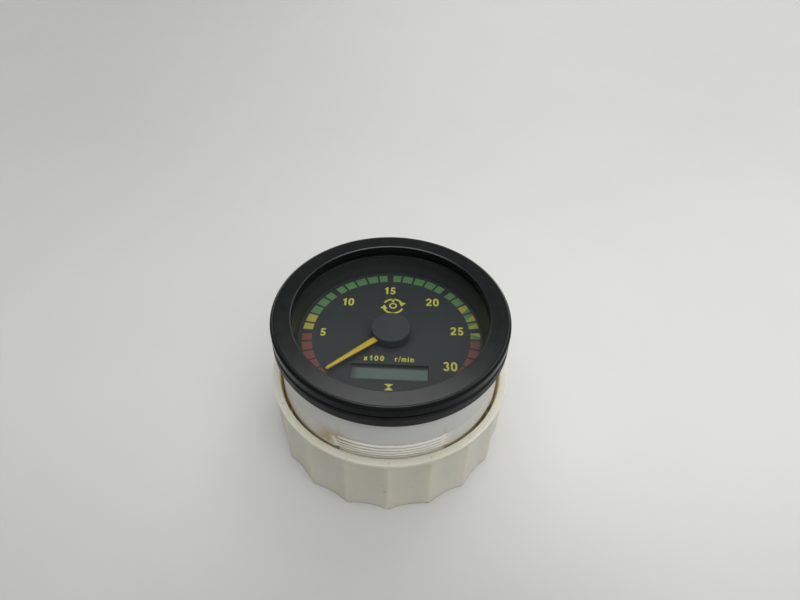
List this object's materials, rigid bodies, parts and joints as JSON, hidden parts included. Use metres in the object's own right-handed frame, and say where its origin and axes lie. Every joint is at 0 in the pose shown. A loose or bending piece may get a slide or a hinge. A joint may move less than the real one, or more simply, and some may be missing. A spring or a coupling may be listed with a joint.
{
  "type": "tachometer",
  "caption": "Round panel tachometer with a dark dial, coloured scale ring, pointer and counter window, clamped from behind by a deep lobed lock nut.",
  "frame": {"origin": "centre of the lock nut's bottom edge, on the surface the instrument stands on", "axes": "+Z along the instrument's axis towards the dial's face; +Y towards the middle of the scale (15); +X to the reader's right"},
  "size_m": [0.0892, 0.0892, 0.0594],
  "materials": {
    "bezel_black": "satin, slightly scuffed",
    "black_rubber": "smooth",
    "clear_lens": "polished",
    "body_white": "translucent, stained",
    "nut_ivory": "satin, aged",
    "surround_black": "gloss",
    "dial_face": "matt print",
    "clear_acrylic": "polished",
    "pointer_yellow": "satin",
    "hub_grey": "satin",
    "bright_steel": "bright",
    "magnet_dark": "ground",
    "former_plastic": "moulded",
    "copper_wire": "enamelled wire",
    "plated_steel": "zinc plated",
    "bush_brass": "turned",
    "board_green": "solder resist",
    "chip_black": "moulded",
    "counter_glass": "reflective",
    "white_plastic": "moulded",
    "contact_rubber": "striped",
    "pin_metal": "tinned",
    "connector_black": "moulded",
    "selector_blue": "moulded",
    "holder_black": "moulded",
    "lamp_glass": "polished"
  },
  "bodies": {
    "instrument": {"bezel_ring": "bezel_black", "lens_gasket": "black_rubber", "front_lens": "clear_lens", "panel_seal": "black_rubber", "housing": "body_white", "dial_surround": "surround_black", "dial_plate": "dial_face", "light_guide": "clear_acrylic", "bobbin_lower": "former_plastic", "bobbin_upper": "former_plastic", "coil_inner": "copper_wire", "coil_outer": "copper_wire", "movement_can": "plated_steel", "lower_bush": "bush_brass", "upper_bush": "bush_brass", "display_board": "board_green", "display_parts": "chip_black", "counter_glass": "counter_glass", "counter_frame": "white_plastic", "counter_contacts": "contact_rubber", "counter_diffuser": "clear_acrylic", "main_board": "board_green", "main_parts": "chip_black", "board_link": "pin_metal", "spacers": "white_plastic", "board_screws": "bright_steel", "connector_shell": "connector_black", "terminal_pins": "pin_metal", "selector_body": "selector_blue"},
    "pointer": {"needle": "pointer_yellow", "hub_cap": "hub_grey", "pointer_shaft": "bright_steel", "rotor_magnet": "magnet_dark"},
    "nut": {"lock_nut": "nut_ivory"},
    "lamp_left": {"bulb_holder_left": "holder_black", "bulb_left": "lamp_glass"},
    "lamp_right": {"bulb_holder_right": "holder_black", "bulb_right": "lamp_glass"},
    "selector": {"selector_rotor": "white_plastic"},
    "cover_plug": {"access_plug": "black_rubber"}
  },
  "joints": [
    {"name": "nut_travel", "type": "slide", "parent": "instrument", "child": "nut", "axis": [0, 0, 1], "range_m": [-0.004, 0.0189]},
    {"name": "pointer_sweep", "type": "hinge", "parent": "instrument", "child": "pointer", "pos_m": [0, 0, 0.0471], "axis": [0, 0, 1], "range_deg": [-260, 0], "stiffness_Nm_per_rad": 0.00005},
    {"name": "lamp_left_turn", "type": "hinge", "parent": "instrument", "child": "lamp_left", "pos_m": [-0.024, 0.008, 0.008], "axis": [0, 0, 1], "range_deg": [0, 90]},
    {"name": "lamp_right_turn", "type": "hinge", "parent": "instrument", "child": "lamp_right", "pos_m": [0.024, 0.008, 0.008], "axis": [0, 0, 1], "range_deg": [0, 90]},
    {"name": "selector_turn", "type": "hinge", "parent": "instrument", "child": "selector", "pos_m": [0, 0.022, 0.011], "axis": [0, 0, 1], "continuous": true},
    {"name": "plug_pull", "type": "slide", "parent": "instrument", "child": "cover_plug", "axis": [0, 0, -1], "range_m": [0, 0.005]}
  ]
}
